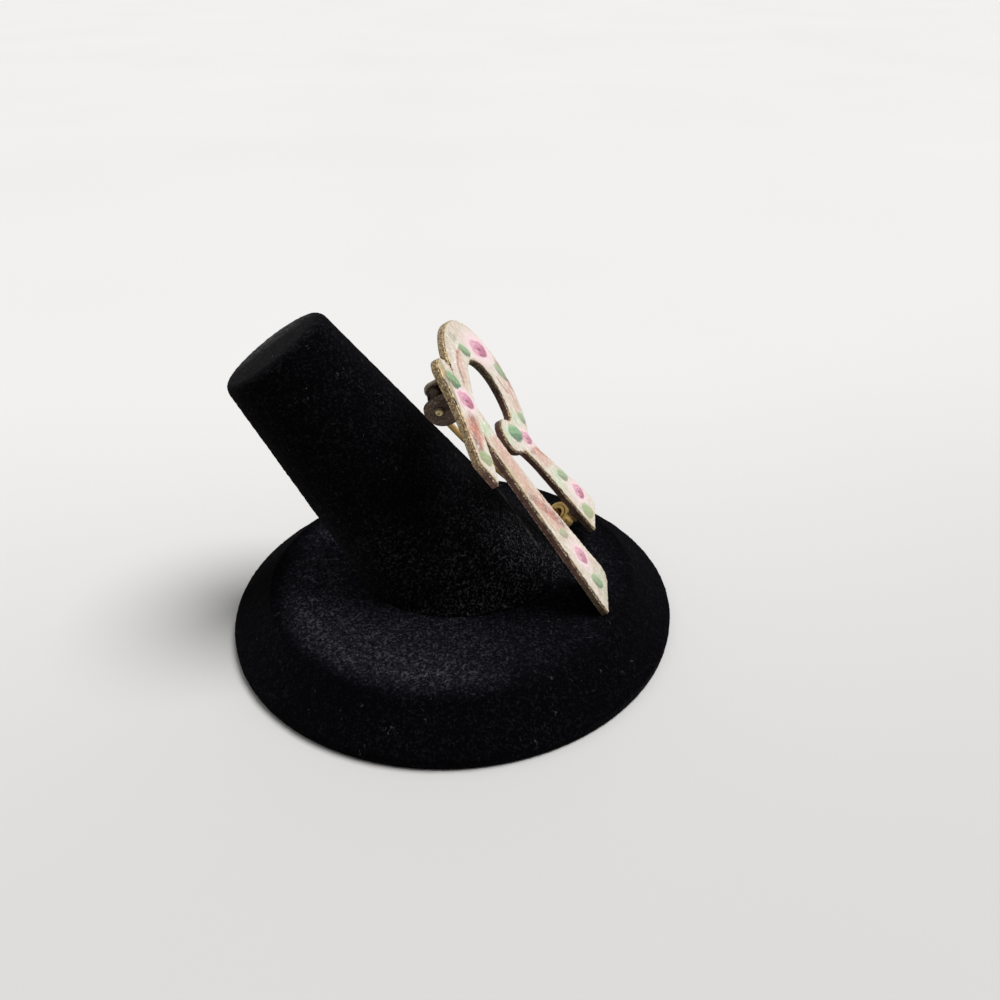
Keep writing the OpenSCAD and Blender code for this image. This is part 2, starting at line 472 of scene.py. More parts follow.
class Paint:
    """Builds the nodes of a material or world. A value is a number, colour, vector or socket."""

    def __init__(self, owner, shader="Principled BSDF"):
        owner.use_nodes = True
        self.owner = owner
        self.tree = owner.node_tree
        self.shader = self.tree.nodes[shader]

    def put(self, socket, value):
        """Links a socket to another one, or gives it a constant."""
        if isinstance(value, bpy.types.NodeSocket):
            self.tree.links.new(value, socket)
        elif isinstance(value, tuple) and socket.type == "RGBA":
            socket.default_value = (*value, 1.0)
        else:
            socket.default_value = value

    def node(self, kind, inputs=(), **settings):
        """The outputs of a new node, with values for its inputs by name or number."""
        made = self.tree.nodes.new(kind)
        for key, value in settings.items():
            setattr(made, key, value)
        for socket, value in dict(inputs).items():
            self.put(made.inputs[socket], value)
        return made.outputs

    def math(self, operation, a, b=0.0):
        """The result of a Math node."""
        return self.node("ShaderNodeMath", {0: a, 1: b}, operation=operation)[0]

    def plus(self, a, b):
        """The sum of two values."""
        return self.math("ADD", a, b)

    def times(self, product, *factors):
        """The product of two or more values."""
        for factor in factors:
            product = self.math("MULTIPLY", product, factor)
        return product

    def tint(self, value):
        """A grey of this value."""
        return self.node("ShaderNodeCombineColor", {0: value, 1: value, 2: value})[0]

    def vector(self, operation, a, b=(0, 0, 0)):
        """The result of a Vector Math node."""
        second = "Scale" if operation == "SCALE" else 1
        made = self.node("ShaderNodeVectorMath", {0: a, second: b}, operation=operation)
        return made["Value" if operation in ("LENGTH", "DISTANCE", "DOT_PRODUCT") else "Vector"]

    def dot(self, a, b):
        """The dot product of two vectors."""
        return self.vector("DOT_PRODUCT", a, b)

    def split(self, value):
        """The three parts of a vector."""
        return self.node("ShaderNodeSeparateXYZ", {0: value})[:]

    def ramp(self, value, low, high, out_low=0.0, out_high=1.0):
        """A smooth step from out_low at low to out_high at high."""
        values = enumerate((value, low, high, out_low, out_high))
        return self.node("ShaderNodeMapRange", values, interpolation_type="SMOOTHSTEP")[0]

    def mix(self, amount, a, b, kind="MIX"):
        """Colour a with this amount of colour b over it."""
        values = {0: amount, 6: a, 7: b}
        return self.node("ShaderNodeMix", values, data_type="RGBA", blend_type=kind)[2]

    def noise(self, where, scale, detail, rough, seed):
        """Cloudy noise around 0.5, with scale features a millimetre."""
        values = {"Vector": where, "W": seed, "Scale": scale, "Detail": detail, "Roughness": rough}
        return self.node("ShaderNodeTexNoise", values, noise_dimensions="4D")[0]

    def mm(self):
        """The point in the row frame, in mm."""
        return self.vector("SCALE", self.node("ShaderNodeTexCoord")["Object"], 1000.0)

    def paint(self):
        """The letter's paint attribute."""
        return self.node("ShaderNodeAttribute", attribute_name="paint")["Vector"]

    def bump(self, height, strength, distance_mm):
        """Roughens the surface by a height."""
        values = {"Strength": strength, "Distance": distance_mm * MM, "Height": height}
        self.put(self.shader.inputs["Normal"], self.node("ShaderNodeBump", values)[0])

    def set(self, **values):
        """Sets the shader's inputs and gives the finished material."""
        names = {"color": "Base Color", "rough": "Roughness", "metal": "Metallic",
                 "level": "Specular IOR Level", "sheen": "Sheen Weight",
                 "sheen_rough": "Sheen Roughness", "sheen_tint": "Sheen Tint"}
        for key, value in values.items():
            self.put(self.shader.inputs[names[key]], value)
        return self.owner


def new_paint(name):
    """The node tree of a new material."""
    return Paint(bpy.data.materials.new(name))


def srgb(red, green, blue):
    """A colour seen as these 0 to 255 values, as linear light."""
    def linear(v):
        """One channel as linear light."""
        v /= 255
        return v / 12.92 if v <= 0.04045 else ((v + 0.055) / 1.055) ** 2.4
    return (linear(red), linear(green), linear(blue))


def dimmed(color, share):
    """A colour with this share of its light."""
    return tuple(v * share for v in color)


PILE_BLACK = srgb(5, 5, 7)
PILE_SHEEN = srgb(150, 146, 148)
LINT = srgb(110, 104, 100)
LOOSE_FIBRE = srgb(96, 93, 92)
OLD_GILDING = srgb(158, 134, 92)
PALE_BRONZE = srgb(112, 101, 76)
# Paler bronze for painted light on the hinge's far ear
FAR_EAR_LIGHT = srgb(176, 160, 136)
# Dark brown for grime, and for painted shade on the pin's knuckle between the ears
GRIME_AND_SHADE = srgb(44, 32, 25)
# How many fibre tips stand out on the foot
FOOT_TIPS = 0.11


def from_segment(p, at, start, end):
    """The distance from a straight line between two points."""
    start, end = Vector(start), Vector(end)
    along = (end - start).normalized()
    away = p.vector("SUBTRACT", at, start)
    part = p.math("MAXIMUM", p.math("MINIMUM", p.dot(away, along), (end - start).length), 0.0)
    return p.vector("DISTANCE", away, p.vector("SCALE", along, part))


def with_lint(p, at, color):
    """The pile's colour with a few pale specks and curled fibres on it."""
    cells = p.node("ShaderNodeTexVoronoi", {"Vector": at, "Scale": 0.55}, feature="F1")
    near = p.math("LESS_THAN", cells["Distance"], 0.04)
    sparse = p.math("GREATER_THAN", p.noise(at, 0.5, 1.0, 0.5, 7.0), 0.58)
    color = p.mix(p.times(near, sparse, 0.6), color, LINT)
    level = p.math("SUBTRACT", p.noise(at, 0.8, 2.0, 0.5, 11.0), 0.5)
    curl = p.ramp(p.math("ABSOLUTE", level), 0.011, 0.004)
    pieces = p.ramp(p.noise(at, 0.9, 1.0, 0.5, 12.0), 0.66, 0.7)
    return p.mix(p.times(curl, pieces, 0.35), color, LOOSE_FIBRE)


def flock(name, worn_and_lit_grey, tip, sheen, wear_and_light, pale_line=()):
    """Black flocking: short fibres that catch the light in small tufts, and a little lint. A given
    function says where the pile is painted grey, as flattened pile and as painted light, and how
    many bright fibre ends stand out, more where painted light bounces. Along a given line the pile
    is painted paler."""
    p = new_paint(name)
    at = p.mm()
    tufts = p.noise(at, 1.3, 3.0, 0.7, 1.0)
    fibre = p.noise(at, 3.6, 2.0, 0.75, 2.0)
    grit = p.noise(at, 8.0, 1.0, 0.6, 4.0)
    patches = p.noise(at, 0.11, 2.0, 0.5, 3.0)
    # Where the pile is painted grey: flattened pile, and painted light on the foot's top and the
    # post's end
    worn, tips_and_bounce = wear_and_light(p, at)
    worn = p.times(worn, p.ramp(patches, 0.3, 0.65, 0.75, 1.0))
    light = p.times(p.ramp(tufts, 0.32, 0.66, 0.2, 1.0), p.ramp(fibre, 0.47, 0.66),
                    p.ramp(grit, 0.36, 0.6, 0.35, 1.0))
    share = p.plus(p.times(worn, 0.75), p.times(tips_and_bounce, p.ramp(patches, 0.35, 0.7, 0.5, 1.0)))
    color = p.mix(worn, PILE_BLACK, worn_and_lit_grey)
    color = p.mix(p.math("MINIMUM", p.times(light, share), 1.0), color, tip)
    color = p.mix(p.ramp(fibre, 0.46, 0.34, 0.0, 0.8), color, PILE_BLACK)
    # The pile is painted paler, in patches, along the given line
    for start, end in zip(pale_line[:-1], pale_line[1:]):
        near = p.ramp(from_segment(p, at, start, end), 0.42, 0.08)
        color = p.mix(p.times(near, p.ramp(tufts, 0.35, 0.6, 0.15, 0.55)), color, worn_and_lit_grey)
    color = with_lint(p, at, color)
    p.bump(p.plus(tufts, p.times(fibre, 0.8)), 0.9, 0.2)
    return p.set(color=color, rough=1.0, level=0.0, sheen=sheen, sheen_rough=0.45,
                 sheen_tint=PILE_SHEEN)


def foot_wear_and_light(p, at):
    """The foot's pile is flattened on its top and painted grey there, partly as painted top light.
    Painted light makes it paler to the front and the left, into the post's shadow, and darker to
    the right.
    """
    top = p.ramp(p.dot(at, (0.0, 0.0, 1.0)), 4.55, 4.85)
    from_axis = p.vector("LENGTH", p.vector("MULTIPLY", at, (1.0, 1.0, 0.0)))
    middle = p.ramp(from_axis, 20.9, 17.4)
    # Painted light: paler to the left, where the post's shadow falls, darker to the right
    side = p.ramp(p.dot(at, (1.0, 0.25, 0.0)), 8.0, -16.0, 0.2, 1.3)
    return p.times(top, middle, side), FOOT_TIPS


def post_painted_light(p, at):
    """Painted light on the post: a grey lit far rim on its end, and more bright fibre ends near the
    foot as bounced light.
    """
    axis = Vector((-sin(POST_LEAN), 0.0, cos(POST_LEAN)))
    end = Vector((*POST_AT, BASE_H)) + axis * POST_L
    height = end.dot(axis)
    # Painted highlight: the far rim of the post's end is painted grey, in patches
    past = p.ramp(p.dot(at, axis), height - 0.9, height - 0.1)
    away = p.vector("SUBTRACT", at, end)
    far = p.ramp(p.dot(away, (-0.2, 0.95, -0.1)), 0.0, 6.0, 0.05, 1.1)
    pile = p.ramp(p.noise(at, 1.5, 3.0, 0.7, 8.0), 0.38, 0.6, 0.35, 1.0)
    # Painted bounce light: more bright fibre ends low down, near the foot
    low = p.ramp(p.dot(at, (0.0, 0.0, 1.0)), 20.0, 9.0, 0.1, 0.45)
    return p.times(past, far, pile), low


def letter_wear_and_shade(p, cloud, fine, pits, dark, color, bright):
    """The letter's colour and bright share: gilding left on its upper part, a paler lower end,
    painted shade with few bright specks on the wall inside its round counter, and rims of the face
    and back worn bright."""
    x, y, depth = p.split(p.paint())
    wall = p.ramp(depth, -METAL_T - 0.1, -METAL_T)
    on_back = p.ramp(cloud, 0.42, 0.62, 0.1, 0.75)
    upper = p.times(p.ramp(y, 22.5, 27.5), p.math("MAXIMUM", wall, on_back))
    # Painted shade: the wall inside the letter's round counter is darkened and its bright specks
    # dimmed
    bowl_shade_span = p.times(p.ramp(x, 5.0, 7.0), p.ramp(x, 17.0, 16.0))
    bowl_shade = p.times(bowl_shade_span, wall, p.ramp(y, 21.5, 24.5), p.ramp(y, 32.2, 31.2))
    color = p.mix(p.times(upper, p.ramp(pits, 0.32, 0.56, 0.3, 0.95)), color, OLD_GILDING)
    color = p.mix(p.ramp(fine, 0.46, 0.34, 0.0, 0.4), color, dimmed(dark, 0.4))
    lower = p.ramp(y, 9.0, 2.0, 0.0, 0.7)
    color = p.mix(p.times(lower, p.ramp(pits, 0.35, 0.6, 0.4, 1.0)), color, PALE_BRONZE)
    rim_line = p.ramp(p.plus(depth, p.times(pits, 0.2)), -0.02, 0.08)
    from_back_rim = p.math("ABSOLUTE", p.plus(depth, METAL_T - 0.03))
    back_line = p.ramp(from_back_rim, 0.14, 0.03, 0.0, 0.5)
    worn = p.times(p.math("MAXIMUM", rim_line, back_line), p.ramp(fine, 0.42, 0.56),
                   p.ramp(pits, 0.42, 0.56, 0.15, 1.0))
    gilded = p.times(upper, p.ramp(fine, 0.5, 0.62))
    bright = p.math("MAXIMUM", p.plus(bright, gilded), worn)
    bright = p.times(p.math("MINIMUM", bright, 1.0), p.ramp(bowl_shade, 0.0, 1.0, 1.0, 0.25))
    return p.mix(p.times(bowl_shade, 0.85), color, dimmed(dark, 0.2)), bright


def bronze(name, dark, light, specks, amount, scale, edged=False, lit_from=None):
    """Tarnished metal with a fine bright grain. Edged metal is the letter's, worn in its own places
    and with painted shade inside its round counter.
    A fitting is painted paler beyond a given distance along the hinge's axis, which takes in the
    far ear: painted light."""
    p = new_paint(name)
    at = p.mm()
    cloud = p.noise(at, 0.35 * scale, 3.0, 0.6, 1.0)
    fine = p.noise(at, 5.5 * scale, 2.0, 0.75, 2.0)
    pits = p.noise(at, 2.0 * scale, 3.0, 0.6, 5.0)
    color = p.mix(p.ramp(cloud, 0.35, 0.65), dark, light)
    color = p.mix(p.ramp(pits, 0.5, 0.3, 0.0, 0.6), color, dimmed(dark, 0.3))
    bright = p.times(p.ramp(fine, 0.52, 0.7), amount)
    # Painted light: beyond a distance along the hinge's axis the bronze is painted paler, in
    # patches
    if lit_from:
        past = p.dot(p.vector("SUBTRACT", at, HINGE / MM), ALONG)
        far_light = p.ramp(past, lit_from, lit_from + 0.3)
        far_light = p.times(far_light, p.ramp(pits, 0.3, 0.6, 0.35, 0.9))
        color = p.mix(far_light, color, FAR_EAR_LIGHT)
    if edged:
        color, bright = letter_wear_and_shade(p, cloud, fine, pits, dark, color, bright)
    color = p.mix(bright, color, specks)
    p.bump(p.plus(fine, p.times(pits, 0.8)), 0.6, 0.05)
    return p.set(color=color, metal=p.ramp(bright, 0.0, 1.0, 0.45, 0.85),
                 rough=p.ramp(fine, 0.3, 0.75, 0.62, 0.36))


def brass(name, color, rough, grime_and_shade=()):
    """Polished brass with faint drawing marks and a little tarnish. A list of zones, by distance
    from the hinge's axis in mm, darkens it: grime on the rivet, painted shade on the pin's knuckle.
    Each zone gives clean from, dark from, strength."""
    p = new_paint(name)
    at = p.mm()
    cloud = p.noise(at, 0.7, 4.0, 0.6, 1.0)
    fine = p.noise(at, 9.0, 2.0, 0.6, 2.0)
    shade = p.mix(p.ramp(cloud, 0.45, 0.72, 0.0, 0.85), color, dimmed(color, 0.42))
    if grime_and_shade:
        away = p.vector("SUBTRACT", at, HINGE / MM)
        far = p.vector("LENGTH", p.vector("CROSS_PRODUCT", away, ALONG))
    for clean, dark, strength in grime_and_shade:
        zone = p.ramp(p.plus(far, p.times(fine, 0.1)), clean, dark, 0.0, strength)
        shade = p.mix(zone, shade, GRIME_AND_SHADE)
    p.bump(fine, 0.15, 0.02)
    return p.set(color=shade, metal=0.6, rough=p.ramp(cloud, 0.3, 0.8, rough, rough + 0.25))


# Colours of the enamel and its painting
CREAM = srgb(213, 205, 189)
WARM_CREAM = srgb(204, 183, 165)
GREEN = srgb(98, 156, 98)
DARK_GREEN = srgb(36, 92, 58)
PALE_GREEN = srgb(188, 206, 172)
YELLOW_GREEN = srgb(150, 160, 84)
PALE_PINK = srgb(238, 210, 214)
PINK = srgb(210, 132, 160)
MAGENTA = srgb(164, 58, 106)
DEEP_ROSE = srgb(112, 22, 70)
SALMON = srgb(182, 92, 66)
BROWN = srgb(118, 66, 50)
BLUSH = srgb(200, 148, 128)
BEIGE = srgb(190, 168, 130)
GREY_GREEN = srgb(140, 136, 112)
DARK_STIPPLE = srgb(146, 112, 92)
WHITE_STIPPLE = srgb(250, 248, 244)
GRAIN_MARK = srgb(120, 92, 78)
STAINED_RIM = srgb(186, 160, 116)
BARE_DARK = srgb(96, 76, 52)
BARE_BRIGHT = srgb(220, 200, 158)
# How far the painter's hand strays from a clean edge
HAND_WOBBLE = 0.6

# Painted roses: centre x, centre y, length, width, angle, halo size, strength
ROSES = [
    (14.7, 28.7, 4.6, 2.5, -32, 1.7, 1.0),
    (2.1, 28.7, 3.3, 2.2, -42, 1.35, 1.0),
    (11.1, 18.3, 3.1, 1.9, -38, 1.25, 0.9),
    (3.8, 6.2, 3.4, 2.3, -52, 1.5, 0.85),
    (16.2, 6.7, 3.6, 2.3, -42, 1.6, 1.0),
]
# Petals of a rose in its own half sizes: centre x, centre y, length, width, angle, colour, strength
PETALS = [
    (-0.42, 0.34, 1.10, 0.95, 30, PINK, 0.8),
    (0.42, 0.36, 1.10, 0.90, -30, PINK, 0.85),
    (-0.40, -0.38, 1.15, 0.85, -25, PINK, 0.8),
    (0.36, -0.40, 1.25, 0.80, 24, MAGENTA, 0.85),
    (0.58, -0.02, 0.70, 1.10, 8, MAGENTA, 0.7),
    (-0.08, 0.06, 1.05, 0.95, 15, PALE_PINK, 0.55),
    (0.02, 0.00, 0.90, 0.74, -20, MAGENTA, 0.85),
    (-0.04, 0.10, 0.58, 0.42, -20, PINK, 0.9),
    (0.08, -0.04, 0.34, 0.28, 10, DEEP_ROSE, 0.9),
    (0.22, -0.62, 0.95, 0.20, 16, DEEP_ROSE, 0.6),
    (-0.50, 0.02, 0.16, 0.80, -12, DEEP_ROSE, 0.4),
    (0.10, 0.52, 0.85, 0.14, -14, MAGENTA, 0.6),
]
# Painted leaves: centre x, centre y, length, width, angle, strength, yellow share
LEAVES = [
    (2.35, 31.1, 3.4, 2.1, -52, 1.0, 0.0),
    (-2.6, 24.3, 3.2, 1.8, -42, 0.85, 0.55),
    (10.4, 30.6, 3.1, 1.6, -42, 0.95, 0.1),
    (16.9, 24.3, 3.9, 1.9, -62, 0.75, 0.1),
    (14.1, 19.2, 3.5, 1.9, -50, 0.8, 0.15),
    (8.9, 20.35, 4.5, 2.4, -36, 1.0, 0.0),
    (14.5, 10.5, 3.6, 1.7, -42, 0.85, 0.2),
    (14.9, 4.5, 4.6, 2.4, -40, 0.9, 0.6),
    (3.2, 2.6, 3.6, 2.0, -55, 0.8, 0.1),
    (3.2, 9.9, 2.9, 1.3, -38, 0.6, 0.2),
]
# Brush lines: start x, start y, end x, end y, width, strength
LINES = [
    (4.5, 29.7, 6.2, 31.0, 0.55, 0.85),
    (6.0, 31.0, 8.2, 31.5, 0.5, 0.85),
    (8.0, 31.5, 9.8, 31.3, 0.45, 0.8),
    (-2.4, 25.5, 0.6, 27.3, 1.8, 0.9),
    (1.5, 16.4, 3.0, 13.4, 1.4, 0.7),
    (2.9, 13.8, 4.5, 10.4, 1.3, 0.9),
    (10.0, 16.9, 12.1, 16.0, 0.7, 0.6),
    (12.0, 16.1, 13.4, 14.2, 0.55, 0.7),
    (13.3, 14.3, 15.1, 11.9, 0.5, 0.65),
    (17.3, 25.4, 17.6, 23.6, 0.9, 1.0),
    (17.6, 23.8, 17.1, 21.6, 1.0, 1.0),
    (17.2, 21.8, 16.3, 19.6, 0.6, 0.9),
    (14.5, 24.6, 14.7, 22.4, 0.5, 0.8),
    (15.7, 22.8, 15.2, 20.6, 0.6, 0.6),
    (4.3, 21.2, 4.7, 18.2, 0.4, 0.5),
    (4.7, 18.4, 4.4, 15.6, 0.4, 0.65),
    (4.4, 15.8, 3.8, 13.6, 0.45, 0.7),
]
# Edges where the enamel is worn to the metal, given like the brush lines
WORN = [
    (2.0, 33.3, 0.6, 31.2, 1.5, 1.0),
    (0.8, 31.0, -1.2, 28.9, 0.8, 1.0),
    (-1.0, 29.0, -3.1, 26.9, 0.7, 1.0),
    (-3.0, 27.0, -4.6, 25.2, 0.8, 1.0),
    (2.5, 30.3, 4.4, 32.1, 0.3, 0.8),
    (-4.4, 24.2, -4.0, 22.0, 0.5, 0.9),
    (0.5, 21.5, 0.5, 15.5, 0.3, 0.7),
]
# Soft washes: centre x, centre y, length, width, angle, colour, strength
WASHES = [
    (2.2, 20.3, 9.0, 2.8, -88, BLUSH, 0.75),
    (1.2, 17.0, 13.0, 0.9, -88, BEIGE, 0.6),
    (14.9, 21.9, 5.0, 3.4, 40, BLUSH, 0.35),
    (9.7, 32.7, 1.8, 1.1, -30, GREY_GREEN, 0.6),
    (17.2, 22.8, 5.6, 1.3, 80, BROWN, 0.4),
    (12.0, 20.6, 3.0, 1.8, -40, PALE_GREEN, 0.7),
    (3.0, 13.0, 7.5, 3.2, -78, BLUSH, 0.7),
    (-0.6, 26.6, 5.0, 2.8, -30, BLUSH, 0.8),
    (12.2, 14.8, 5.5, 2.6, -52, BLUSH, 0.7),
    (2.0, 25.1, 3.4, 1.7, -25, PALE_GREEN, 0.8),
    (12.2, 11.6, 2.6, 3.2, -30, PALE_GREEN, 0.8),
    (6.3, 21.6, 2.8, 2.0, -36, PALE_GREEN, 0.75),
    (6.6, 30.2, 5.2, 1.1, 22, BLUSH, 0.6),
    (4.6, 1.4, 4.0, 1.8, 10, PALE_GREEN, 0.6),
    (13.2, 3.6, 2.0, 3.0, -20, BEIGE, 0.5),
]


def in_ellipse(p, place, x, y, length, width, angle):
    """The place inside a turned ellipse, with its rim at radius 1."""
    away = p.vector("SUBTRACT", place, (x, y, 0.0))
    values = {"Vector": away, "Angle": -radians(angle)}
    turned = p.node("ShaderNodeVectorRotate", values, rotation_type="Z_AXIS")[0]
    return p.vector("MULTIPLY", turned, (2.0 / length, 2.0 / width, 0.0))


def soft_disc(p, unit, soft):
    """The mask of everything within radius 1, with a soft rim."""
    return p.ramp(p.vector("LENGTH", unit), 1.0 + soft, 1.0 - soft)


def line(p, place, ax, ay, bx, by, width):
    """The soft mask of a straight brush line."""
    length = hypot(bx - ax, by - ay) + width * 1.2
    angle = degrees(atan2(by - ay, bx - ax))
    unit = in_ellipse(p, place, (ax + bx) / 2, (ay + by) / 2, length, width, angle)
    return soft_disc(p, unit, 0.35)


def with_rose(p, place, streaks, color, rose):
    """The colour with a rose over it: a pale halo and the petals."""
    x, y, length, width, angle, halo, strength = rose
    glow = soft_disc(p, in_ellipse(p, place, x, y, length * halo, width * halo, angle), 0.4)
    color = p.mix(p.times(glow, 0.7 * strength), color, PALE_PINK)
    unit = in_ellipse(p, place, x, y, length, width, angle)
    flower = PALE_PINK
    for px, py, long, wide, turn, tint, share in PETALS:
        petal = soft_disc(p, in_ellipse(p, unit, px, py, long, wide, turn), 0.2)
        flower = p.mix(p.times(petal, share), flower, tint)
    worn = p.ramp(streaks, 0.28, 0.55, 0.78 * strength, strength)
    return p.mix(p.times(soft_disc(p, unit, 0.24), worn), color, flower)


def with_leaf(p, place, streaks, color, leaf):
    """The colour with a leaf over it: pointed ends, a dark and a light half, and a vein."""
    x, y, length, width, angle, strength, yellow = leaf
    along, across, _ = p.split(in_ellipse(p, place, x, y, length, width, angle))
    point = p.math("POWER", p.math("ABSOLUTE", along), 2.4)
    mask = p.ramp(p.plus(p.math("ABSOLUTE", across), point), 1.0, 0.78)
    body = p.mix(p.ramp(across, -0.55, 0.35), DARK_GREEN, GREEN)
    body = p.mix(yellow, body, YELLOW_GREEN)
    body = p.mix(p.ramp(across, 0.35, 0.8, 0.0, 0.5), body, PALE_GREEN)
    from_vein = p.math("ABSOLUTE", p.math("SUBTRACT", across, 0.06))
    body = p.mix(p.ramp(from_vein, 0.16, 0.03, 0.0, 0.2), body, PALE_GREEN)
    thin = p.ramp(streaks, 0.28, 0.6, strength * 0.7, strength)
    return p.mix(p.times(mask, thin), color, body)


def painted_enamel():
    """Cream enamel painted with roses, leaves and brown brush lines, bare along its worn rim."""
    p = new_paint("painted_enamel")
    at = p.paint()
    flat = p.vector("MULTIPLY", at, (1.0, 1.0, 0.0))
    values = {"Vector": flat, "Scale": 1.1, "Detail": 5.0, "Roughness": 0.6}
    wobble = p.node("ShaderNodeTexNoise", values, noise_dimensions="3D")["Color"]
    shift = p.vector("SUBTRACT", wobble, (0.5, 0.5, 0.5))
    place = p.vector("ADD", flat, p.vector("SCALE", shift, HAND_WOBBLE))
    place = p.vector("MULTIPLY", place, (1.0, 1.0, 0.0))
    streaks = p.noise(flat, 3.4, 4.0, 0.65, 3.0)
    clouds = p.noise(flat, 0.35, 3.0, 0.5, 4.0)
    grain_marks = p.noise(flat, 6.0, 2.0, 0.7, 14.0)
    stipple = p.noise(p.vector("MULTIPLY", at, (1.0, 0.5, 0.0)), 3.4, 4.0, 0.75, 6.0)

    color = p.mix(p.ramp(clouds, 0.35, 0.7, 0.0, 0.7), CREAM, WARM_CREAM)
    for *ellipse, tint, strength in WASHES:
        mask = soft_disc(p, in_ellipse(p, place, *ellipse), 0.45)
        color = p.mix(p.times(mask, strength), color, tint)
    for *stroke, strength in LINES:
        worn = p.ramp(streaks, 0.3, 0.6, strength * 0.6, strength)
        tint = p.mix(p.ramp(clouds, 0.4, 0.6), SALMON, BROWN)
        color = p.mix(p.times(line(p, place, *stroke), worn), color, tint)
    color = p.mix(p.ramp(stipple, 0.5, 0.64, 0.0, 0.42), color, DARK_STIPPLE)
    color = p.mix(p.ramp(stipple, 0.47, 0.38, 0.0, 0.5), color, WHITE_STIPPLE)
    for rose in ROSES:
        color = with_rose(p, place, streaks, color, rose)
    for leaf in LEAVES:
        color = with_leaf(p, place, streaks, color, leaf)
    color = p.mix(p.ramp(grain_marks, 0.54, 0.68, 0.0, 0.4), color, GRAIN_MARK)

    from_rim = p.split(at)[2]
    ragged = p.math("SUBTRACT", p.noise(flat, 2.6, 4.0, 0.75, 9.0), 0.5)
    edge = p.math("SUBTRACT", from_rim, p.times(ragged, 0.9))
    shade = p.times(p.ramp(edge, 0.34, 0.04, 0.0, 0.6), p.ramp(stipple, 0.46, 0.56, 0.25, 1.0))
    color = p.mix(shade, color, STAINED_RIM)
    bare = p.ramp(edge, 0.04, -0.05)
    for *stroke, strength in WORN:
        patch = p.times(line(p, place, *stroke), p.ramp(stipple, 0.4, 0.52, 0.35, strength))
        bare = p.math("MAXIMUM", bare, patch)
    metal = p.mix(p.ramp(stipple, 0.4, 0.58), BARE_DARK, BARE_BRIGHT)
    color = p.mix(bare, color, metal)
    p.bump(p.plus(streaks, p.times(clouds, 1.5)), 0.09, 0.08)
    return p.set(color=color, rough=p.ramp(bare, 0.0, 1.0, 0.32, 0.5), level=0.3,
                 metal=p.times(bare, 0.7))


# Pieces

def pile_height(points, seed):
    """How far the pile stands out at each point."""
    rough = 0.05 * grain(points, 0.55, seed) + 0.035 * grain(points, 0.3, seed + 1)
    return (rough - 0.02)[:, None]


def stand_foot():
    """The round bevelled foot, roughened by its flocking."""
    r = BASE_R
    profile = [(0.0, 0.0), (r * 0.5, 0.0), (r - 0.9, 0.0)]
    profile += arc(0.4, -90, 0, 4, (r - 0.4, 0.4))
    profile += arc(0.5, 0, 45, 5, (r - 0.5, BASE_RIM_H))
    top_round = arc(0.5, 45, 90, 5, (BASE_TOP_R - 0.4, BASE_H - 0.5))
    low, high = np.array(profile[-1]), np.array(top_round[0])
    count = int(dist(low, high) / FOOT_STEP)
    profile += [tuple(low + (high - low) * k / count) for k in range(1, count)]
    profile += top_round
    outer, inner = top_round[-1][0], FOOT_INNER_R
    rings = int((outer - inner) / FOOT_STEP)
    profile += [(outer + (inner - outer) * k / rings, BASE_H) for k in range(1, rings + 1)]
    profile.append((0.0, BASE_H))
    verts, faces = lathe(profile, FOOT_SEGMENTS)
    v = np.array(verts)
    radius = np.linalg.norm(v[:, :2], axis=1)
    out = np.zeros_like(v)
    off_floor = v[:, 2] > SKIN
    bevel = (v[:, 2] < BASE_H - SKIN) & off_floor
    out[bevel, :2] = v[bevel, :2] / radius[bevel, None] * PILE_LIFT
    out[off_floor, 2] = PILE_LIFT
    v += out * pile_height(v, 11)
    # The grey of the foot's top is flattened pile and painted light
    pile = flock("flock_foot", srgb(24, 24, 29), srgb(88, 88, 98), 0.06, foot_wear_and_light)
    return new_object("stand_foot", v * MM, faces, pile)


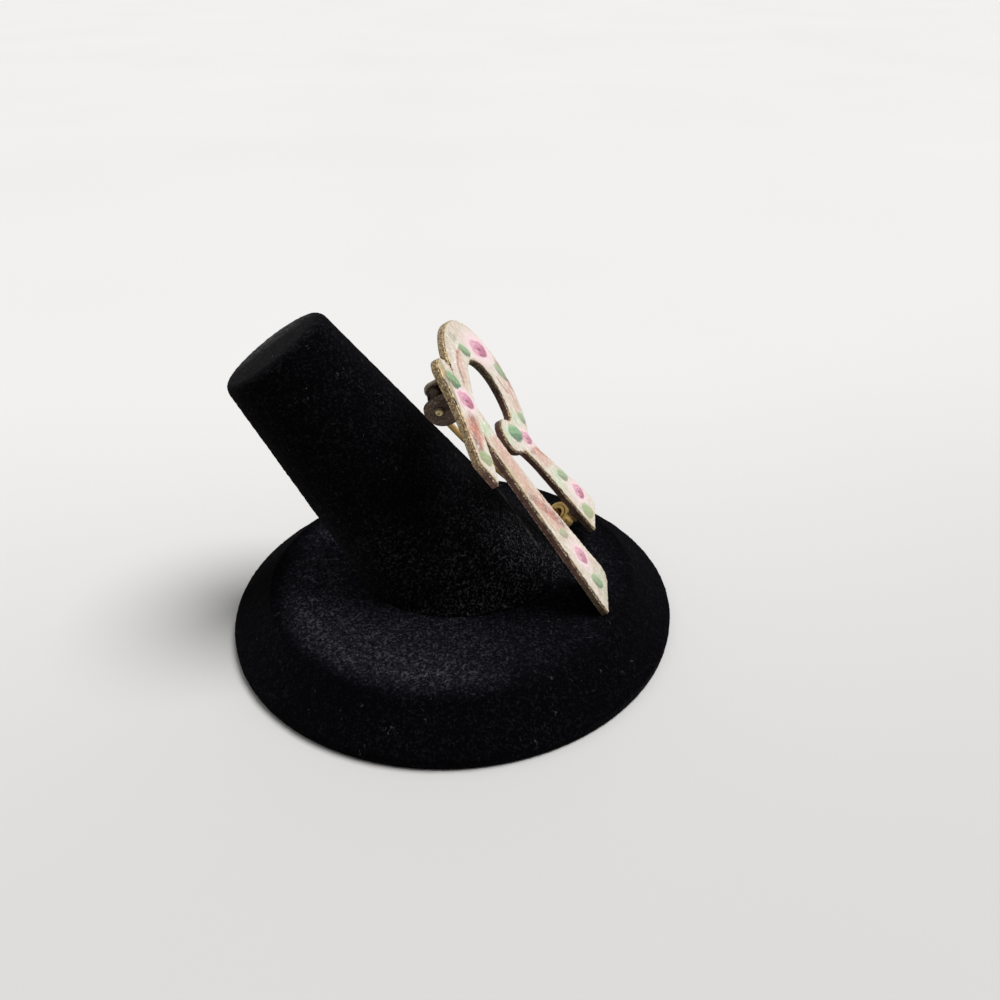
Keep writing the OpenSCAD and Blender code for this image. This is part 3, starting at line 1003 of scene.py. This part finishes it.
def post_surface():
    """The leaning post: straight lines from the foot's plane to the rounded end, roughened."""
    axis = np.array([-sin(POST_LEAN), 0.0, cos(POST_LEAN)])
    side = np.array([cos(POST_LEAN), 0.0, sin(POST_LEAN)])
    across = np.array([0.0, 1.0, 0.0])
    foot = np.array([*POST_AT, BASE_H])
    turns = [2 * pi * i / POST_SEGMENTS for i in range(POST_SEGMENTS)]
    spokes = [side * cos(a) + across * sin(a) for a in turns]
    grow = (POST_R - POST_END_R) / POST_L
    straight = POST_L - POST_ROUND
    verts = []
    for k in range(POST_ROWS + 1):
        for spoke in spokes:
            rise = spoke[2]
            start = -POST_R * rise / (axis[2] - grow * rise)
            s = start + (straight - start) * (k / POST_ROWS)
            p = foot + axis * s + spoke * (POST_R - grow * s)
            p += spoke * POST_FLARE * exp(-(p[2] - BASE_H) / FLARE_H)
            verts.append(p)
    edge_r = POST_END_R + grow * POST_ROUND
    cap = arc(POST_ROUND, 0, 90, 7, (edge_r - POST_ROUND, straight))[1:]
    flat_r = cap[-1][0]
    cap += [(flat_r * (1 - k / CAP_RINGS), POST_L) for k in range(1, CAP_RINGS)]
    for r, s in cap:
        verts += [foot + axis * s + spoke * r for spoke in spokes]
    total = POST_ROWS + len(cap)
    faces = bands(total, POST_SEGMENTS)
    verts.append(foot + axis * POST_L)
    last = total * POST_SEGMENTS
    for i in range(POST_SEGMENTS):
        faces.append([last + i, last + (i + 1) % POST_SEGMENTS, len(verts) - 1])
    faces.append(list(range(POST_SEGMENTS))[::-1])
    v = np.array(verts)
    along = (v - foot) @ axis
    out = v - foot - np.outer(along, axis)
    out /= np.maximum(np.linalg.norm(out, axis=1), 1e-6)[:, None]
    level = np.clip((along - straight) / POST_ROUND, 0, 1)[:, None]
    out = out * (1 - level) + axis * level
    v += out * pile_height(v, 13)
    v[:, 2] = np.maximum(v[:, 2], BASE_H - SKIN)
    # Painted light: the grey of the end's lit rim, and bright fibre ends low down
    pile = flock("flock_post", srgb(74, 73, 73), srgb(112, 112, 116), 0.08, post_painted_light, POST_PALE_LINE)
    return new_object("stand_post_flock", v * MM, faces, pile)


def hinge_bracket(material):
    """The soldered bracket: patch, a long near ear and a smaller far one."""
    bm = bmesh.new()
    root = PIN_H - 0.1
    near = arc(EAR_R, 180, 270, 16, (-EAR_DROP, 0.0)) + arc(EAR_R, 270, 360, 16)
    near += [(EAR_R, root), (-EAR_R - EAR_DROP, root)]
    prism(bm, near, NEAR_X - EAR_T, NEAR_X, 0, 0.12)
    far = arc(FAR_R, 180, 360, 26) + [(FAR_R, root), (-FAR_R, root)]
    far_x = NEAR_X + EAR_GAP
    prism(bm, far, far_x, far_x + FAR_T, 0, 0.12)
    low, high = (NEAR_X - EAR_T, -2.3, PIN_H - 0.3), (far_x + FAR_T, 1.5, PIN_H + SOLDER)
    rounded_box(bm, low, high, 0.08)
    return from_bmesh("hinge_bracket", bm, ON_HINGE, material, voxel=VOXEL, smoothing=3)


def slotted_ring(outer, inner, half_slot, inner_count):
    """The outline of a ring that is open on the side away from the letter."""
    outer_a = degrees(asin(half_slot / outer))
    inner_a = degrees(asin(half_slot / inner))
    ring = arc(outer, -90 + outer_a, 270 - outer_a, 48)
    return ring + arc(inner, 270 - inner_a, -90 + inner_a, inner_count)


def catch_housing(material):
    """The catch's housing: an open ring on a short neck."""
    bm = bmesh.new()
    ring = slotted_ring(CATCH_R, ROTOR_R + PLAY, MOUTH, 40)
    prism(bm, ring, -CATCH_W / 2, CATCH_W / 2, 1, 0.07)
    rounded_box(bm, (-0.6, -CATCH_W / 2, 1.05), (0.6, CATCH_W / 2, PIN_H - 0.1), 0.05)
    return from_bmesh("catch_housing", bm, ON_CATCH, material, voxel=FINE_VOXEL)


def catch_patch(material):
    """The small plate under the catch, soldered to the letter's back."""
    bm = bmesh.new()
    rounded_box(bm, (-1.0, -0.85, PIN_H - 0.28), (1.9, 1.2, PIN_H + SOLDER), 0.08)
    return from_bmesh("catch_patch", bm, ON_CATCH, material, voxel=VOXEL)


def rotor(material):
    """The slotted sleeve and its thumb lever."""
    bm = bmesh.new()
    half = (CATCH_W + SLEEVE_EXTRA) / 2
    end = SLEEVE_SHIFT - half
    x, wide = LEVER_AT, 0.25
    neck = [(x, -wide), (x + 0.5, -wide), (x + 0.5, wide), (x, wide)]
    prism(bm, neck, end + 0.03, end + 0.51, 1, 0.05)
    prism(bm, arc(0.36, 0, 345, 24, (x, 0.0)), end + 0.05, end + 0.45, 1, 0.1)
    bmesh.ops.create_uvsphere(bm, u_segments=20, v_segments=14, radius=KNOB_R,
                              matrix=Matrix.Translation((x, end + 0.16, 0.0)))
    bm.transform(Matrix.Rotation(LEVER_TURN, 4, "Y"))
    ring = slotted_ring(ROTOR_R, ROTOR_BORE, SLOT, 36)
    prism(bm, ring, end, SLEEVE_SHIFT + half, 1, 0.06)
    return from_bmesh("catch_sleeve", bm, ON_CATCH, material, voxel=FINE_VOXEL)


def across_hinge(x):
    """Turns a lathed piece onto the hinge's axis, at a place along it."""
    return Matrix.Translation((x, 0, 0)) @ Matrix.Rotation(radians(90), 4, "Y")


def pin_wire(material):
    """The bowed pin with its knuckle and point."""
    middle = PIN_REACH / 2
    bow_r = (middle ** 2 + PIN_BOW ** 2) / (2 * PIN_BOW)
    root = asin((middle - 0.1) / bow_r)
    tip = asin((middle + 0.5) / bow_r)
    path = []
    for k in range(PIN_STEPS + 1):
        a = root - (root + tip) * k / PIN_STEPS
        y, z = middle + bow_r * sin(a), bow_r - PIN_BOW - bow_r * cos(a)
        path.append((y, z, PIN_D / 2))
    last = np.array(path[-1][:2])
    heading = np.array([-cos(tip), sin(tip)])
    for share in (0.25, 0.5, 0.75, 0.92, 1.0):
        y, z = last + heading * POINT_L * share
        path.append((y, z, PIN_D / 2 * (1 - share ** 1.5 * POINT_TAPER)))
    side = Vector((1, 0, 0))
    turns = np.linspace(0, 2 * pi, PIN_SIDES, endpoint=False)
    verts = []
    for k, (y, z, r) in enumerate(path):
        y0, z0 = path[max(k - 1, 0)][:2]
        y1, z1 = path[min(k + 1, len(path) - 1)][:2]
        up = Vector((0, y1 - y0, z1 - z0)).normalized().cross(side)
        centre = Vector((0, y, z))
        verts += [centre + (side * cos(a) + up * sin(a)) * r for a in turns]
    ends = [range(PIN_SIDES)[::-1], range(len(verts) - PIN_SIDES, len(verts))]
    bm = bmesh.new()
    add_mesh(bm, verts, bands(len(path) - 1, PIN_SIDES) + ends, Matrix())
    lean = Matrix.Rotation(-asin(ROOT_OFF / PIN_REACH), 4, "X")
    bm.transform(Matrix.Translation((0, -PIN_REACH, 0)) @ lean)
    half = (EAR_GAP - 0.1) / 2
    bore, flat, bevel = RIVET_R + PLAY, 0.85, 0.1
    knuckle = [(bore, -half), (flat, -half), (KNUCKLE_R, -half + bevel),
               (KNUCKLE_R, half - bevel), (flat, half), (bore, half), (bore, -half)]
    verts, faces = lathe(knuckle, 48)
    add_mesh(bm, verts, faces, across_hinge(NEAR_X + EAR_GAP / 2))
    bmesh.ops.remove_doubles(bm, verts=bm.verts, dist=1e-5)
    return from_bmesh("brooch_pin", bm, ON_HINGE, material)


def rivet(material):
    """A tubular rivet: shank and two rolled heads with dished middles."""
    low = NEAR_X - EAR_T - GAP
    high = NEAR_X + EAR_GAP + FAR_T + GAP
    half = (high - low) / 2
    head = [(0.0, half + HEAD_DISH), (0.07, half + HEAD_DISH)]
    head += [(r, half + HEAD_H * share) for r, share in HEAD_PROFILE]
    verts, faces = lathe(head + [(r, -z) for r, z in reversed(head)], 40)
    bm = bmesh.new()
    add_mesh(bm, verts, faces, across_hinge((low + high) / 2))
    return from_bmesh("hinge_pin_rivet", bm, ON_HINGE, material)


def ragged(loop):
    """An outline with the uneven rim that fired enamel has."""
    spots = np.column_stack([loop, np.zeros(len(loop))])
    spread = 0.01 + 0.07 * grain(spots, 0.7, 21) + 0.13 * grain(spots, 0.27, 22)
    return loop + outward(loop) * np.clip(spread, -0.12, 0.1)[:, None]


def dress():
    """Makes every piece and ties it to the frame."""
    enamel_back = -ENAMEL_T - GAP
    plate_loop = smooth_loop(rim("letter_frame", enamel_back), LOOP_STEP)
    face_loop = ragged(smooth_loop(rim("enamel_face", 0.0), LOOP_STEP))

    metal = bronze("letter_bronze", srgb(84, 52, 45), srgb(114, 78, 69), srgb(230, 212, 176),
                   amount=0.08, scale=1.0, edged=True)
    # Fittings, with painted light on the hinge's far ear
    fitting = bronze("fitting_bronze", srgb(64, 46, 40), srgb(118, 98, 86), srgb(206, 186, 152),
                     amount=0.4, scale=0.8, lit_from=1.2)
    shine = brass("brass", srgb(255, 214, 132), 0.24)
    # Painted shade: the pin darkens towards the hinge's axis, on its knuckle between the ears
    wire = brass("pin_brass", srgb(244, 202, 122), 0.24, [(2.2, 1.1, 0.97)])
    pale = brass("rivet_brass", srgb(238, 218, 168), 0.3, [(0.15, 0.1, 0.9), (0.42, 0.5, 0.9)])

    plate = slab("letter_plate", plate_loop, -LETTER_T, enamel_back, edge=0.06, spacing=0.35,
                 rows=8, wall_rough=0.03, material=metal)
    face = slab("painted_face", face_loop, enamel_back - 0.03, 0.0, edge=0.09, spacing=0.2,
                rows=2, wall_rough=0.0, material=painted_enamel())
    on_letter = ("stand", ["letter_frame"], "letter_metal")
    pieces = [
        (stand_foot(), "stand", ["stand_base"], "flock_foot"),
        (post_surface(), "stand", ["stand_post"], "flock_post"),
        (plate, *on_letter),
        (face, "stand", ["enamel_face"], "enamel"),
        (hinge_bracket(fitting), *on_letter),
        (catch_housing(shine), *on_letter),
        (catch_patch(fitting), *on_letter),
        (rivet(pale), "stand", ["hinge_rivet"], "rivet_brass"),
        (pin_wire(wire), "pin", ["pin_stem"], "pin_brass"),
        (rotor(shine), "catch", ["catch_rotor"], "catch_brass"),
    ]
    for obj, body, nodes, slot in pieces:
        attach(obj, body)
        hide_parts(*nodes)


# Stage

def stage():
    """A pale floor with painted shade, darker towards the near side and the right, a soft sky and
    broad soft light from the right.
    """
    half = FLOOR_HALF
    p = new_paint("pale_floor")
    at = p.mm()
    cloud = p.noise(at, 0.01, 2.0, 0.5, 1.0)
    pale = p.mix(cloud, srgb(236, 235, 233), srgb(242, 241, 240))
    # Painted shade: the floor's colour grows darker towards the near side and the right
    shade = p.ramp(p.dot(at, (-0.2, 1.0, 0.0)), -60.0, 75.0, 0.68, 0.825)
    color = p.mix(1.0, pale, p.tint(shade), "MULTIPLY")
    corners = [(-half, -half, 0), (half, -half, 0), (half, half, 0), (-half, half, 0)]
    material = p.set(color=color, rough=0.9, level=0.0)
    floor = new_object("floor", corners, [(0, 1, 2, 3)], material, smooth=False)
    sky = Paint(bpy.data.worlds.new("studio"), "Background")
    across = sky.split(sky.node("ShaderNodeTexCoord")["Generated"])[1]
    fade = sky.node("ShaderNodeMapRange", {"Value": across, **SKY_FADE})[0]
    sky.put(sky.shader.inputs["Strength"], fade)
    sky.put(sky.shader.inputs["Color"], (1.0, 1.0, 1.0))
    bpy.context.scene.world = sky.owner
    sun = bpy.data.lights.new("window", "SUN")
    sun.energy = SUN_STRENGTH
    sun.angle = SUN_SPREAD
    light = in_scene("window", sun)
    light.rotation_euler = Vector(SUN_WAY).to_track_quat("-Z", "Y").to_euler()
    bpy.context.scene.view_settings.view_transform = "Standard"


def camera():
    """The photograph's view: found from the foot's ellipse and the post's sides."""
    data = bpy.data.cameras.new("photo_camera")
    data.sensor_width = 36.0
    data.lens = LENS
    data.clip_start = 0.005
    data.clip_end = 10.0
    obj = in_scene("photo_camera", data)
    back = Vector((0.0, -cos(TILT), sin(TILT)))
    right = Vector((1.0, 0.0, 0.0))
    up = back.cross(right)
    rolled_right = right * cos(ROLL) - up * sin(ROLL)
    rolled_up = right * sin(ROLL) + up * cos(ROLL)
    place = Matrix((rolled_right, rolled_up, back)).transposed().to_4x4()
    place.translation = CAMERA_AT
    obj.matrix_world = place
    bpy.context.scene.camera = obj


camera()
stage()
dress()
